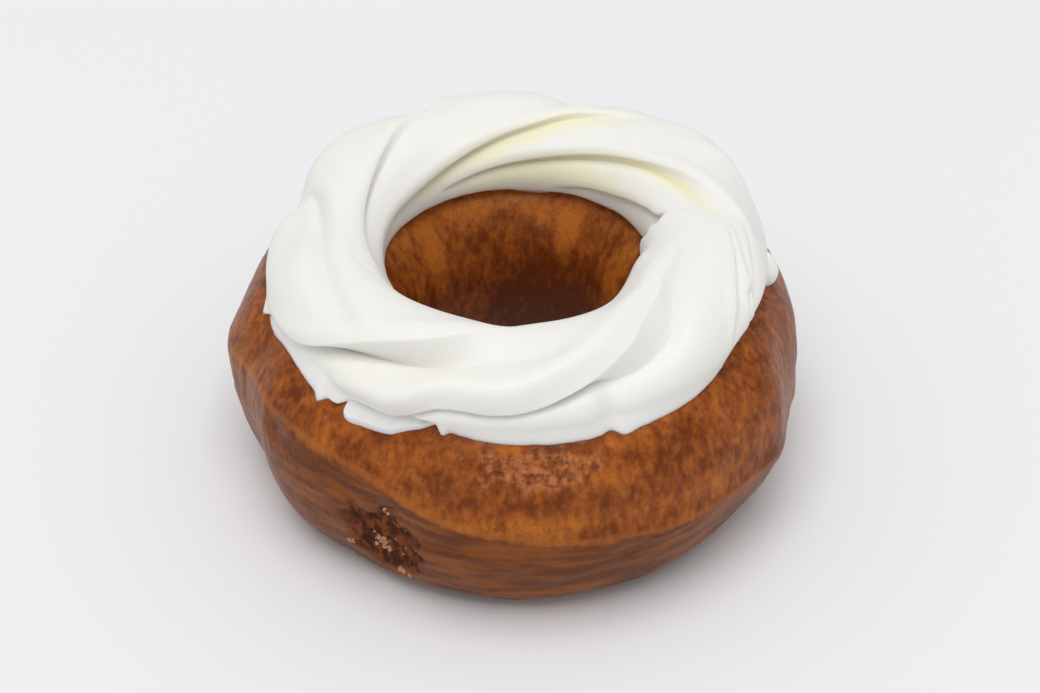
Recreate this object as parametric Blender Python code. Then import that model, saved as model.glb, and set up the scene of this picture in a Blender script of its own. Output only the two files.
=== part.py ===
"""A glazed ring doughnut with a twisted ring of piped cream on top.

The doughnut rests on z = 0 with its hole upright on the Z axis. Shapes are worked out in
millimetres on two angles, and the meshes are made in metres. "Azimuth" runs round the ring, in
degrees from +X towards +Y. "Tube angle" runs round a section: 0 is outwards, 90 is up and 180
faces the hole.
"""

from collections import namedtuple

import bpy
import numpy as np

MM = 0.001

# The uneven ring is set over by this much, so that the origin is under the middle of its box.
CENTRE_X = 0.51
CENTRE_Y = -0.2

# Doughnut: a thick ring whose section is a slightly squared oval.
RING_RADIUS = 31.7
SECTION_HALF_WIDTH = 14.3
SECTION_HALF_HEIGHT = 19.0
SECTION_SQUARENESS = 2.2
BASE_SINK = 0.45
DOUGH_AROUND = 78
DOUGH_SECTION = 28

# Soft edge round the side, where the raised top meets the flatter lower band.
BELT_HEIGHT = 19.5
BELT_TILT = 6.0
BELT_TILT_AZIMUTH = -160.0
BELT_STANDS_OUT = 0.45
BELT_BAND_HOLLOW = 0.75

# Uneven sides: (azimuth, spread in degrees, how far the side stands out in mm).
SIDE_SWELLS = (
    (-173.0, 9.0, 1.2),
    (-160.0, 8.0, -0.9),
    (-146.0, 9.0, 0.6),
    (-122.0, 16.0, -1.3),
    (-60.0, 12.0, 0.3),
    (-27.0, 6.0, 0.8),
    (-14.0, 12.0, -1.0),
    (130.0, 30.0, 0.4),
)

# Dents and lumps in the crust: (azimuth, tube angle, spread in mm, height in mm).
CRUST_RELIEF = (
    (-117.0, -2.0, 3.6, -1.1),
    (-90.0, 42.0, 4.5, -0.5),
    (-146.0, 24.0, 2.2, -0.7),
)

# Piped cream: the plain tube that the twisted folds are laid on.
CREAM_RADIUS = 30.7
CREAM_HEIGHT = 38.6
CREAM_HALF_WIDTH = 9.4
CREAM_HALF_HEIGHT = 8.8
CREAM_AROUND = 136
CREAM_SECTION = 31
# How the rows of its mesh climb: degrees of azimuth past the top, and the tube angle there.
ROW_CLIMB = ((0.0, 92.0, 102.0, 128.0, 180.0), (90.0, 196.0, 318.0, 345.0, 450.0))
GAP = 0.3
SLIVER = 0.04

# A fold of the cream steps down from its edge. The line is the edge's way over the tube, as
# (azimuth, tube angle) places. The step goes outwards (-1) or into the hole (+1), is depth mm
# deep, and near the top of the tube takes slope degrees. The rolled rim above it stands up by
# rim mm, with its crown so many degrees back.
Fold = namedtuple("Fold", "line side depth slope rim crown_back")
FOLDS = (
    Fold(
        ((-176, -20), (-152, -2), (-138, 24), (-121, 63), (-107, 90), (-95, 112), (-72, 130)),
        -1, 3.0, 30, 1.0, 7,
    ),
    Fold(
        ((-145, -36), (-127, -38), (-115, -7), (-105, 15), (-86, 18), (-71, 37), (-57, 70),
         (-37, 105), (-6, 126)),
        -1, 3.0, 30, 1.4, 18,
    ),
    Fold(((-36, -24), (-31, 30), (-25, 52), (-8, 84)), -1, 1.4, 12, 0.4, 4),
    Fold(
        ((-10, 42), (6, 80), (27, 112), (51, 137), (77, 158), (102, 178), (124, 194)),
        1, 2.4, 10, 1.2, 5,
    ),
    Fold(((60, 78), (76, 105), (93, 128), (116, 150), (141, 167), (205, 182)), 1, 2.1, 11, 1.0, 4),
    Fold(((112, 58), (126, 82), (143, 112), (164, 131), (192, 149), (222, 162)), 1, 1.5, 13, 0.7, 6),
    Fold(((158, 36), (173, 76), (185, 98), (204, 114), (236, 122)), -1, 1.4, 34, 0.4, 10),
    Fold(((84, -40), (104, 20), (116, 60), (130, 96)), -1, 2.0, 18, 0.6, 8),
    Fold(((36, -40), (56, 20), (66, 60), (78, 96)), -1, 2.4, 18, 0.6, 8),
    Fold(((-8, -40), (12, 6), (28, 44), (42, 76)), -1, 1.2, 18, 0.5, 8),
)
STEEP_SLOPE = 10.0
RISE_LENGTH = 30.0
RIM_SPREAD = 12.0
RIM_OVERHANG = 0.5
FOLD_FADE = 16.0

# Crowns and hollows of the separate folds, and the thin and thick places of the cream's foot:
# (azimuth, tube angle, spread along and across in degrees, height in mm).
CREAM_SWELLS = (
    (98.0, 64.0, 20.0, 40.0, 0.5),
    (36.0, 40.0, 14.0, 28.0, 2.0),
    (72.0, 52.0, 8.0, 28.0, -2.1),
    (122.0, 62.0, 8.0, 20.0, -0.8),
    (140.0, 40.0, 12.0, 26.0, 0.9),
    (157.0, 12.0, 8.0, 28.0, -3.0),
    (-85.0, 88.0, 13.0, 28.0, -0.9),
    (-32.0, 142.0, 19.0, 34.0, 2.6),
    (-11.0, 120.0, 6.0, 13.0, 2.2),
    (-138.0, 156.0, 12.0, 22.0, -1.3),
    (8.0, -18.0, 4.4, 16.0, 3.6),
    (14.0, 14.0, 6.0, 16.0, -0.6),
    (-133.0, -30.0, 12.0, 24.0, 1.9),
    (-156.0, -34.0, 14.0, 22.0, 2.2),
    (172.0, -26.0, 9.0, 22.0, 2.0),
    (-114.0, -28.0, 10.0, 19.0, 2.0),
    (-86.0, -36.0, 26.0, 28.0, 1.5),
    (-94.0, 128.0, 9.0, 18.0, -0.7),
    (-22.0, -26.0, 14.0, 24.0, -3.4),
    (75.0, 208.0, 70.0, 24.0, -1.0),
    (38.0, 206.0, 8.0, 24.0, -1.8),
    (66.0, 206.0, 6.0, 22.0, -0.9),
    (114.0, 206.0, 12.0, 22.0, -0.9),
)


def turn_between(angle, centre):
    """The signed turn from centre to angle, within half a turn."""
    return (angle - centre + 180.0) % 360.0 - 180.0


def hump(distance):
    return np.exp(-distance * distance)


def ease(value):
    """0 below 0, 1 above 1 and a smooth S between."""
    value = np.clip(value, 0.0, 1.0)
    return value * value * (3.0 - 2.0 * value)


def rounded_power(value, power):
    return np.sign(value) * np.abs(value) ** power


def smooth_line(x, places):
    """The height at x of a smooth curve through the places, level past its ends."""
    known_x, known_y = np.array(places, float).T
    slope = np.gradient(known_y, known_x)
    x = np.clip(x, known_x[0], known_x[-1])
    i = np.clip(np.searchsorted(known_x, x) - 1, 0, len(known_x) - 2)
    step = known_x[i + 1] - known_x[i]
    t = (x - known_x[i]) / step
    start = (1 + 2 * t) * (1 - t) ** 2 * known_y[i] + t * (1 - t) ** 2 * step * slope[i]
    end = t * t * (3 - 2 * t) * known_y[i + 1] + t * t * (t - 1) * step * slope[i + 1]
    return start + end


def on_ring(azimuth, radius, height):
    angle = np.radians(azimuth)
    across = CENTRE_X + radius * np.cos(angle)
    along = CENTRE_Y + radius * np.sin(angle)
    return np.stack([across, along, height], axis=-1)


def dough_surface(azimuth, tube_angle, grow=0.0):
    """Points of the doughnut's crust, moved out by grow."""
    angle = np.radians(tube_angle)
    across = rounded_power(np.cos(angle), 2 / SECTION_SQUARENESS)
    up = rounded_power(np.sin(angle), 2 / SECTION_SQUARENESS)
    height = SECTION_HALF_HEIGHT - BASE_SINK + (SECTION_HALF_HEIGHT + grow) * up

    outwards = ease(across)
    side = np.zeros_like(height)
    for centre, spread, rise in SIDE_SWELLS:
        side += rise * hump(turn_between(azimuth, centre) / spread)
    belt = BELT_HEIGHT + BELT_TILT * np.cos(np.radians(azimuth - BELT_TILT_AZIMUTH))
    side += BELT_STANDS_OUT * hump((height - belt) / 3.0)
    side -= BELT_BAND_HOLLOW * hump((height - belt * 0.45) / (belt * 0.3))

    relief = np.zeros_like(height)
    for centre, tilt, spread, rise in CRUST_RELIEF:
        along = np.radians(turn_between(azimuth, centre)) * RING_RADIUS
        over = np.radians(turn_between(tube_angle, tilt)) * SECTION_HALF_WIDTH
        relief += rise * hump(np.hypot(along, over) / spread)

    radius = RING_RADIUS + (SECTION_HALF_WIDTH + grow + relief) * across + side * outwards
    height = height + relief * up
    return on_ring(azimuth, radius, np.maximum(height, -grow))


def fold_step(azimuth, tube_angle, fold):
    """How far one fold lifts the cream, and how far it pushes it over its edge, in mm."""
    first, last = fold.line[0][0], fold.line[-1][0]
    along = first + (azimuth - first) % 360.0
    present = ease((along - first) / FOLD_FADE) * ease((last - along) / FOLD_FADE)
    edge = smooth_line(along, fold.line)
    below = fold.side * (tube_angle - edge)
    # The step is steep low on the sides, and a broad slope near the top of the tube.
    width = STEEP_SLOPE + (fold.slope - STEEP_SLOPE) * ease((65.0 - np.abs(edge - 90.0)) / 40.0)
    wall = ease(below / width)
    rise = np.exp(-np.maximum(below - width, 0.0) / RISE_LENGTH)
    back = np.minimum(below, 0.0)
    rim = fold.rim * hump((back + fold.crown_back) / (fold.crown_back + RIM_SPREAD))
    lift = rim * (1.0 - wall) - fold.depth * wall * rise
    push = RIM_OVERHANG * hump(back / RIM_SPREAD) * (1.0 - wall)
    return present * lift, present * fold.side * push


def cream_surface(azimuth, tube_angle):
    """Points of the whole piped tube, also of the part that the doughnut cuts away."""
    tube_angle = (tube_angle + 90.0) % 360.0 - 90.0
    lift = np.zeros_like(azimuth)
    push = np.zeros_like(azimuth)
    for fold in FOLDS:
        one_lift, one_push = fold_step(azimuth, tube_angle, fold)
        lift += one_lift
        push += one_push
    for centre, tilt, spread, tilt_spread, rise in CREAM_SWELLS:
        along = turn_between(azimuth, centre) / spread
        lift += rise * hump(along) * hump(turn_between(tube_angle, tilt) / tilt_spread)
    angle = np.radians(tube_angle)
    radius = CREAM_RADIUS + (CREAM_HALF_WIDTH + lift) * np.cos(angle) - push * np.sin(angle)
    height = CREAM_HEIGHT + (CREAM_HALF_HEIGHT + lift) * np.sin(angle) + push * np.cos(angle)
    return on_ring(azimuth, radius, height)


def level_rows(azimuth, row):
    """Rows that each keep one tube angle, and so run straight round the ring."""
    return np.zeros_like(azimuth) + row * 360.0


def folded_rows(azimuth, row):
    """Rows that climb over the tube as the folds do, and pass below it twice in a turn.

    They lie close where the cream shows and far apart below, where the doughnut cuts it.
    """
    turns, past_top = np.divmod(azimuth - row * 180.0, 180.0)
    return 360.0 * turns + np.interp(past_top, *ROW_CLIMB)


def ring_mesh(name, surface, around, section, rows=level_rows):
    """A closed ring of quads over the surface."""
    azimuth, row = np.meshgrid(
        -180.0 + np.arange(around) * 360.0 / around,
        np.arange(section) / section,
        indexing="ij",
    )
    points = surface(azimuth, rows(azimuth, row)).reshape(-1, 3) * MM
    faces = []
    for i in range(around):
        here, ahead = i * section, (i + 1) % around * section
        for j in range(section):
            k = (j + 1) % section
            faces.append((here + j, ahead + j, ahead + k, here + k))
    mesh = bpy.data.meshes.new(name)
    mesh.from_pydata(points.tolist(), [], faces)
    mesh.shade_smooth()
    return mesh


def finish(name, colour, roughness):
    material = bpy.data.materials.new(name)
    material.use_nodes = True
    shader = material.node_tree.nodes["Principled BSDF"]
    shader.inputs["Base Color"].default_value = (*colour, 1.0)
    shader.inputs["Roughness"].default_value = roughness
    return material


def add_object(name, mesh, material=None):
    piece = bpy.data.objects.new(name, mesh)
    bpy.context.scene.collection.objects.link(piece)
    if material:
        mesh.materials.append(material)
    return piece


def make_doughnut():
    mesh = ring_mesh("doughnut", dough_surface, DOUGH_AROUND, DOUGH_SECTION)
    return add_object("doughnut", mesh, finish("glazed crust", (0.30, 0.085, 0.025), 0.35))


def make_cream():
    mesh = ring_mesh("cream_ring", cream_surface, CREAM_AROUND, CREAM_SECTION, folded_rows)
    cream = add_object("cream_ring", mesh, finish("piped cream", (0.90, 0.89, 0.84), 0.45))

    def seat(azimuth, tube_angle):
        return dough_surface(azimuth, tube_angle, grow=GAP)

    seat_mesh = ring_mesh("cream_seat", seat, DOUGH_AROUND, DOUGH_SECTION)
    cutter = add_object("cream_seat", seat_mesh)
    cutter.hide_render = True
    cutter.display_type = "WIRE"
    cut = cream.modifiers.new("seat", "BOOLEAN")
    cut.operation = "DIFFERENCE"
    cut.object = cutter
    weld = cream.modifiers.new("weld", "WELD")
    weld.merge_threshold = SLIVER * MM
    return cream


for leftover in list(bpy.data.objects):
    bpy.data.objects.remove(leftover)
make_doughnut()
make_cream()
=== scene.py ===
"""The finish of a glazed cake doughnut with a twisted ring of piped cream on top.

Shapes are worked out in millimetres on two angles. "Azimuth" runs round the ring, in degrees
from +X towards +Y. "Tube angle" runs round a section: 0 is outwards, 90 is up and 180 faces the
hole.
"""

import math
import random
from collections import namedtuple

import bpy
import numpy as np
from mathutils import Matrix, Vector, noise


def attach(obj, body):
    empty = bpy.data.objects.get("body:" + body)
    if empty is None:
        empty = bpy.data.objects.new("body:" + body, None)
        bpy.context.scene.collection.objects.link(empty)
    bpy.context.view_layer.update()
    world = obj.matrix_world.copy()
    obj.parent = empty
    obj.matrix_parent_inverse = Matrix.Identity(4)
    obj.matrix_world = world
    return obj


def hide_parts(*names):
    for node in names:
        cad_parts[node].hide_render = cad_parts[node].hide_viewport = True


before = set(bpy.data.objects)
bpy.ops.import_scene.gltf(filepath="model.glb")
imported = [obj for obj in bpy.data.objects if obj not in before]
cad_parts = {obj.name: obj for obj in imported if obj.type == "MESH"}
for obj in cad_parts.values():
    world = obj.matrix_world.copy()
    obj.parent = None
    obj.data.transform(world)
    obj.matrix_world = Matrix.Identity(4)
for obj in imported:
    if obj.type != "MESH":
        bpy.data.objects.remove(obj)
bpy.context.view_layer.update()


# ---------------------------------------------------------------- the doughnut
# A thick ring of cake batter, fried in oil and dipped upside down in a thin sugar glaze. The
# glaze covers the raised top and stops at a soft edge round the side. Below it is the duller,
# streaky band that lay in the oil.

MM = 0.001
RING_CENTRE = (0.51, -0.2)
RING_RADIUS = 31.7
SECTION_HALF_WIDTH = 14.3
SECTION_HALF_HEIGHT = 19.0
SECTION_SQUARENESS = 2.2
BASE_SINK = 0.45
CRUST_AROUND = 516
CRUST_SECTION = 192
TORUS_CUTS = 2

# Lengths on the side are measured along arcs of these radii, round the ring and up its section.
SIDE_ARC_RADIUS = 44.0
SECTION_ARC_RADIUS = 17.0

# The glaze's edge round the side: (azimuth, height in mm). The ends meet.
GLAZE_EDGE = (
    (-180, 24.5), (-152, 27.5), (-124, 26.5), (-105, 23.1), (-86, 20.4), (-64, 18.7), (-41, 17.2),
    (-20, 15.4), (10, 14.0), (50, 14.5), (100, 17.0), (145, 21.5), (180, 24.5),
)
EDGE_STANDS_OUT = 0.5
EDGE_SPREAD = 2.6
EDGE_WANDERS = 0.35
BAND_HOLLOW = 0.75
BAND_FADE = 0.9
RIM_SPREAD = 0.7

# Uneven sides: (azimuth, spread in degrees, how far the side stands out in mm).
SIDE_SWELLS = (
    (-173.0, 9.0, 1.2),
    (-160.0, 8.0, -0.9),
    (-146.0, 9.0, 0.6),
    (-122.0, 16.0, -1.3),
    (-60.0, 12.0, 0.3),
    (-27.0, 6.0, 0.8),
    (-14.0, 12.0, -1.0),
    (130.0, 30.0, 0.4),
)

# Dents in the crust: (azimuth, tube angle, spread in mm, height in mm).
CRUST_DENTS = (
    (-117.0, -2.0, 3.6, -0.8),
    (-90.0, 42.0, 4.5, -0.4),
    (-146.0, 24.0, 2.2, -0.7),
    (-143.0, 44.0, 1.3, -0.5),
)

# Rough places: (azimuth, tube angle, half length along the ring, half height, both in mm).
TORN_PLACE = (-118.5, -16.0, 9.6, 9.4)
CRACKED_PLACE = (-86.0, 42.0, 16.0, 5.2)
WRINKLED_PLACE = (-160.0, 18.0, 17.0, 9.0)

# The strip of whole crust along the foot of the torn place: its height in mm at an azimuth, how
# far it climbs with each degree, and where it starts and ends.
TORN_LIP_HEIGHT = 3.4
TORN_LIP_AZIMUTH = 236.0
TORN_LIP_CLIMB = 0.10
TORN_LIP_SPREAD = 0.8
TORN_LIP_START, TORN_LIP_END = 229.0, 247.0
TORN_LIP_FADE = 2.0

# The bumps in the crust: how wide each kind is and how far it stands out, all in mm.
LUMP_SIZE, LUMP_HEIGHT = 9.0, 0.22
RAGGED_SIZE, RAGGED_HEIGHT = 2.6, 0.42
GRAIN_SIZE, GRAIN_HEIGHT = 1.5, 0.32
STREAK_SIZE, STREAK_HEIGHT = 8.0, 0.14
FINE_GRAIN_HEIGHT = 0.05
CRACKED_HEIGHT = 0.40
RIM_HEIGHT = 0.12
WRINKLE_HEIGHT = 0.34
TORN_DEPTH = 0.75
TORN_LIP_STANDS = 0.3

# Below this height the bumps fade out, so that the base rests flat.
RESTING_HEIGHT = 1.5


def turn_between(angle, centre):
    """The signed turn from centre to angle, within half a turn."""
    return (angle - centre + 180.0) % 360.0 - 180.0


def hump(distance):
    return np.exp(-distance * distance)


def ease(value):
    """0 below 0, 1 above 1 and a smooth S between."""
    value = np.clip(value, 0.0, 1.0)
    return value * value * (3.0 - 2.0 * value)


def rounded_power(value, power):
    return np.sign(value) * np.abs(value) ** power


def smooth_line(x, places):
    """The height at x of a smooth curve through the places, level past its ends."""
    known_x, known_y = np.array(places, float).T
    slope = np.gradient(known_y, known_x)
    x = np.clip(x, known_x[0], known_x[-1])
    i = np.clip(np.searchsorted(known_x, x) - 1, 0, len(known_x) - 2)
    step = known_x[i + 1] - known_x[i]
    t = (x - known_x[i]) / step
    start = (1 + 2 * t) * (1 - t) ** 2 * known_y[i] + t * (1 - t) ** 2 * step * slope[i]
    end = t * t * (3 - 2 * t) * known_y[i + 1] + t * t * (t - 1) * step * slope[i + 1]
    return start + end


def on_ring(azimuth, radius, height):
    """Points in mm, in the object's frame."""
    angle = np.radians(azimuth)
    across = RING_CENTRE[0] + radius * np.cos(angle)
    along = RING_CENTRE[1] + radius * np.sin(angle)
    return np.stack([across, along, height], axis=-1)


def glaze_edge_height(azimuth):
    return smooth_line(turn_between(azimuth, 0.0), GLAZE_EDGE)


def crust_surface(azimuth, tube_angle):
    """The crust's main form."""
    angle = np.radians(tube_angle)
    across = rounded_power(np.cos(angle), 2 / SECTION_SQUARENESS)
    up = rounded_power(np.sin(angle), 2 / SECTION_SQUARENESS)
    height = SECTION_HALF_HEIGHT - BASE_SINK + SECTION_HALF_HEIGHT * up

    outwards = ease(across)
    side = np.zeros_like(height)
    for centre, spread, rise in SIDE_SWELLS:
        side += rise * hump(turn_between(azimuth, centre) / spread)
    edge = glaze_edge_height(azimuth)
    side += EDGE_STANDS_OUT * hump((height - edge) / EDGE_SPREAD)
    side -= BAND_HOLLOW * hump((height - edge * 0.45) / (edge * 0.3))

    relief = np.zeros_like(height)
    for centre, tilt, spread, rise in CRUST_DENTS:
        along = np.radians(turn_between(azimuth, centre)) * RING_RADIUS
        over = np.radians(turn_between(tube_angle, tilt)) * SECTION_HALF_WIDTH
        relief += rise * hump(np.hypot(along, over) / spread)

    radius = RING_RADIUS + (SECTION_HALF_WIDTH + relief) * across + side * outwards
    return on_ring(azimuth, radius, np.maximum(height + relief * up, 0.0))


def in_place(azimuth, tube_angle, place, softness=0.3):
    """1 inside a place of the crust, 0 outside it and a soft edge between."""
    centre, tilt, half_length, half_height = place
    along = np.radians(turn_between(azimuth, centre)) * SIDE_ARC_RADIUS / half_length
    over = np.radians(turn_between(tube_angle, tilt)) * SECTION_ARC_RADIUS / half_height
    return ease((1.0 - np.hypot(along, over)) / softness)


def rough(points, size, octaves=4, seed=0.0):
    """Smooth random heights from about -1 to 1 at the points, with features of this size in mm."""
    places = points / size + seed
    return np.array([noise.fractal(Vector(p), 0.9, 2.1, octaves) for p in places])


def fine_torus(name, around, section):
    """Adds a torus, cut fine, and gives it and the column and row that each vertex is in."""
    bpy.ops.object.select_all(action="DESELECT")
    bpy.ops.mesh.primitive_torus_add(
        major_segments=around // (TORUS_CUTS + 1), minor_segments=section // (TORUS_CUTS + 1),
        major_radius=3.0, minor_radius=1.0,
    )
    ring = bpy.context.object
    ring.name = ring.data.name = name
    bpy.ops.object.mode_set(mode="EDIT")
    bpy.ops.mesh.select_all(action="SELECT")
    bpy.ops.mesh.subdivide(number_cuts=TORUS_CUTS)
    bpy.ops.object.mode_set(mode="OBJECT")
    bpy.ops.object.shade_smooth()
    points = np.empty(len(ring.data.vertices) * 3, np.float32)
    ring.data.vertices.foreach_get("co", points)
    x, y, z = points.reshape(-1, 3).T.astype(float)
    column = np.round(np.arctan2(y, x) / math.tau * around).astype(int) % around
    row = np.round(np.arctan2(z, np.hypot(x, y) - 3.0) / math.tau * section).astype(int) % section
    return ring, column, row


def move_vertices(mesh, points):
    mesh.vertices.foreach_set("co", (points * MM).astype(np.float32).ravel())
    mesh.update()


def vertex_value(mesh, name, values):
    """Keeps a number for each vertex, for the material to read."""
    attribute = mesh.attributes.new(name, "FLOAT", "POINT")
    attribute.data.foreach_set("value", values.astype(np.float32))


doughnut, column, row = fine_torus("glazed_doughnut", CRUST_AROUND, CRUST_SECTION)
azimuth = column * 360.0 / CRUST_AROUND
tube_angle = row * 360.0 / CRUST_SECTION
points = crust_surface(azimuth, tube_angle)
height = points[:, 2]

# Streaks lie flat, and drapes are drawn out downwards.
turn_round = azimuth % 360.0
level = np.zeros_like(azimuth)
lumps = rough(points, LUMP_SIZE, 3)
ragged = rough(points, RAGGED_SIZE, 3, 51.0)
grain = rough(points, GRAIN_SIZE, 3, 7.0)
streaks = rough(points * (1.0, 1.0, 5.0), STREAK_SIZE, 3, 21.0)
drape = rough(np.stack([azimuth * 0.7, height * 0.10, level], axis=-1), 2.0, 3, 3.0)
wander = rough(np.stack([azimuth, level, level], axis=-1), 7.0, 2)

# How much each vertex is in the dull band (fainter round the left side), on the glaze's rim, in
# the torn place, and so on.
edge = glaze_edge_height(azimuth) + EDGE_WANDERS * wander
facing_out = ease(np.cos(np.radians(tube_angle)) * 2.0)
band = facing_out * ease((edge - height - 0.1) / BAND_FADE)
# Round the left side the dull band is painted fainter, under the milky haze and painted sheen
# there.
band *= 1.0 - 0.55 * hump((turn_round - 202.0) / 26.0)
# The rim is a ridge of thicker glaze. Its lighter colour is partly the thicker glaze and partly a
# painted highlight where the edge catches the light.
glaze_rim_and_highlight = facing_out * hump((height - edge - 0.5) / RIM_SPREAD)
torn = ease(in_place(azimuth, tube_angle, TORN_PLACE, 1.0) * 3.2 + 1.1 * ragged - 0.35)
torn *= in_place(azimuth, tube_angle, TORN_PLACE, 0.25)
lip_height = TORN_LIP_HEIGHT + TORN_LIP_CLIMB * (turn_round - TORN_LIP_AZIMUTH)
torn_lip = facing_out * hump((height - lip_height) / TORN_LIP_SPREAD)
torn_lip *= ease((turn_round - TORN_LIP_START) / TORN_LIP_FADE)
torn_lip *= ease((TORN_LIP_END - turn_round) / TORN_LIP_FADE)
torn *= 1.0 - torn_lip
cracked = ease(1.5 * in_place(azimuth, tube_angle, CRACKED_PLACE, 0.9) + 0.8 * ragged - 0.15)
cracked *= in_place(azimuth, tube_angle, CRACKED_PLACE, 0.3)
wrinkled = in_place(azimuth, tube_angle, WRINKLED_PLACE, 0.9)

relief = LUMP_HEIGHT * lumps + FINE_GRAIN_HEIGHT * grain
relief += cracked * (CRACKED_HEIGHT * ragged + GRAIN_HEIGHT * grain)
relief += STREAK_HEIGHT * band * streaks + RIM_HEIGHT * glaze_rim_and_highlight
relief += WRINKLE_HEIGHT * wrinkled * drape
relief += torn * (RAGGED_HEIGHT * ragged + GRAIN_HEIGHT * grain - TORN_DEPTH)
relief += TORN_LIP_STANDS * torn_lip

direction = np.stack(
    [
        np.cos(np.radians(tube_angle)) * np.cos(np.radians(azimuth)),
        np.cos(np.radians(tube_angle)) * np.sin(np.radians(azimuth)),
        np.sin(np.radians(tube_angle)),
    ],
    axis=-1,
)
resting = ease(height / RESTING_HEIGHT)
points = points + direction * (relief * resting)[:, None]
points[:, 2] = np.maximum(points[:, 2], 0.0)
move_vertices(doughnut.data, points)
vertex_value(doughnut.data, "band", band)
vertex_value(doughnut.data, "rim", glaze_rim_and_highlight)
vertex_value(doughnut.data, "torn", torn)
vertex_value(doughnut.data, "cracked", cracked)
# Milky down the left side's drapes: partly the sugar's haze, partly a painted sheen.
vertex_value(doughnut.data, "haze_and_sheen", wrinkled * ease(0.45 + 0.9 * drape))

# The finished crust, as columns round the ring of rows up its section.
crust_grid = np.empty((CRUST_AROUND, CRUST_SECTION, 3))
crust_grid[column, row] = points


# Browner and more golden places of the crust: (azimuth, tube angle, half length, half height, how
# brown). Frying colours it unevenly. Two places inside the hole are painted light and shade
# instead: a paler band along its back wall and a darker place low down.
BROWNING_LIGHT_AND_SHADE_PLACES = (
    (-143, 44, 2.0, 1.6, 0.5),
    (-132, 31, 6.0, 6.0, -0.22),
    (-118, 37, 4.5, 4.0, -0.2),
    (-92, 54, 4.5, 1.8, -0.4),
    (-81, 54, 6.0, 1.8, 0.35),
    (-70, 52, 3.0, 2.6, -0.4),
    (-72, 33, 6.0, 3.6, -0.25),
    (-36, 44, 5.0, 6.0, -0.22),
    (-92, 13, 26.0, 3.0, -0.25),
    (-50, 12, 16.0, 3.0, -0.2),
    (-57, 34, 14.0, 7.0, 0.08),
    (-86, 25, 13.0, 4.0, 0.10),
    (-106, 26, 8.0, 6.0, 0.06),
    (-150, 20, 10.0, 10.0, 0.05),
    (150, 124, 9.0, 8.0, -0.3),
    (136, 148, 7.5, 9.0, -0.65),
    (100, 158, 5.0, 14.0, 0.15),
    # Painted light: the back wall of the hole, paler all along.
    (100, 125, 60.0, 9.0, -0.30),
    (66, 146, 6.0, 8.0, -0.58),
    (30, 150, 8.0, 12.0, -0.42),
    # Painted shade: low down in the hole.
    (75, 188, 34.0, 13.0, 0.36),
    (-85, 40, 14.0, 5.0, -0.06),
    (-31, -6, 6.0, 5.0, 0.3),
)
browning_light_and_shade = np.zeros_like(azimuth)
for *place, amount in BROWNING_LIGHT_AND_SHADE_PLACES:
    browning_light_and_shade += amount * in_place(azimuth, tube_angle, place, 1.0)
vertex_value(doughnut.data, "browning_light_and_shade", browning_light_and_shade)


def linear(hex_colour):
    """An sRGB hex colour as linear red, green, blue and alpha."""
    channels = [int(hex_colour[i : i + 2], 16) / 255 for i in (1, 3, 5)]
    bright = [c / 12.92 if c <= 0.04045 else ((c + 0.055) / 1.055) ** 2.4 for c in channels]
    return (*bright, 1.0)


def new_material(name):
    material = bpy.data.materials.new(name)
    material.use_nodes = True
    return material, material.node_tree.nodes["Principled BSDF"]


def add_node(material, kind, inputs=None, **settings):
    """Adds a node. Each input is given a value, or the socket that feeds it."""
    node = material.node_tree.nodes.new("ShaderNode" + kind)
    for name, value in settings.items():
        setattr(node, name, value)
    for key, value in (inputs or {}).items():
        if isinstance(value, bpy.types.NodeSocket):
            material.node_tree.links.new(value, node.inputs[key])
        else:
            node.inputs[key].default_value = value
    return node


# Sugar glaze over fried crust: smooth and half clear, so the mottled brown of the crust shows
# through a soft sheen. Down the left side, along the folds where it ran down, it is milky: partly
# the sugar's own haze, partly a painted sheen. The torn place has none.
GLAZED_GOLD = linear("#B46824")
FRIED_BROWN = linear("#9A5220")
DARK_BROWN = linear("#6C3210")
DARK_SPECK = linear("#4A2210")
DULL_BAND = linear("#5E2E0C")
BAND_STREAK = linear("#884A12")
# Lighter on the glaze's rim: partly thicker glaze, partly a painted highlight.
GLAZE_RIM_HIGHLIGHT = linear("#A8652A")
# Milky colour down the left side: partly the sugar's haze, partly a painted sheen.
MILKY_HAZE_AND_SHEEN = linear("#BC8452")
TORN_CRUMB = linear("#42200F")
TORN_LIGHT = linear("#804424")
# Pink of the cracked place: a painted highlight on its wrinkles.
CRACKED_HIGHLIGHT = linear("#C4784A")

# Sizes of the patterns. Real flecks are nearer 0.2 mm, and are drawn coarser so that they show.
BLOTCH_MM = 5.5
MOTTLE_MM = 1.2
MOTTLE_DRAWN_OUT = 0.5
FLECK_MM = 0.5
OIL_LINE_MM = 13.0
OIL_LINE_FLATNESS = 6.0
CRACK_MM = 2.4
MOTTLE_DEPTH_MM = 0.25
CRACK_DEPTH_MM = 0.3
FLECK_DEPTH_MM = 0.12
GLAZE_ROUGHNESS = 0.36
CRUMB_ROUGHNESS = 0.8
GLAZE_SPECULAR = 0.15
GLAZE_IOR = 1.45
BLOTCH_SHARE = 0.9
MOTTLE_SHARE = 0.9
BUMP_STRENGTH = 0.35

# Sockets of the Mix node for colours.
MIX_FACTOR, MIX_A, MIX_B, MIX_RESULT = 0, 6, 7, 2


def share_of(material, source, first, last, most):
    """A factor that goes smoothly from 0 to most while the source goes from first to last."""
    inputs = {"Value": source, "From Min": first, "From Max": last, "To Min": 0.0, "To Max": most}
    return add_node(material, "MapRange", inputs, interpolation_type="SMOOTHSTEP").outputs["Result"]


def mixed(material, factor, under, over):
    inputs = {MIX_FACTOR: factor, MIX_A: under, MIX_B: over}
    return add_node(material, "Mix", inputs, data_type="RGBA").outputs[MIX_RESULT]


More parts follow.
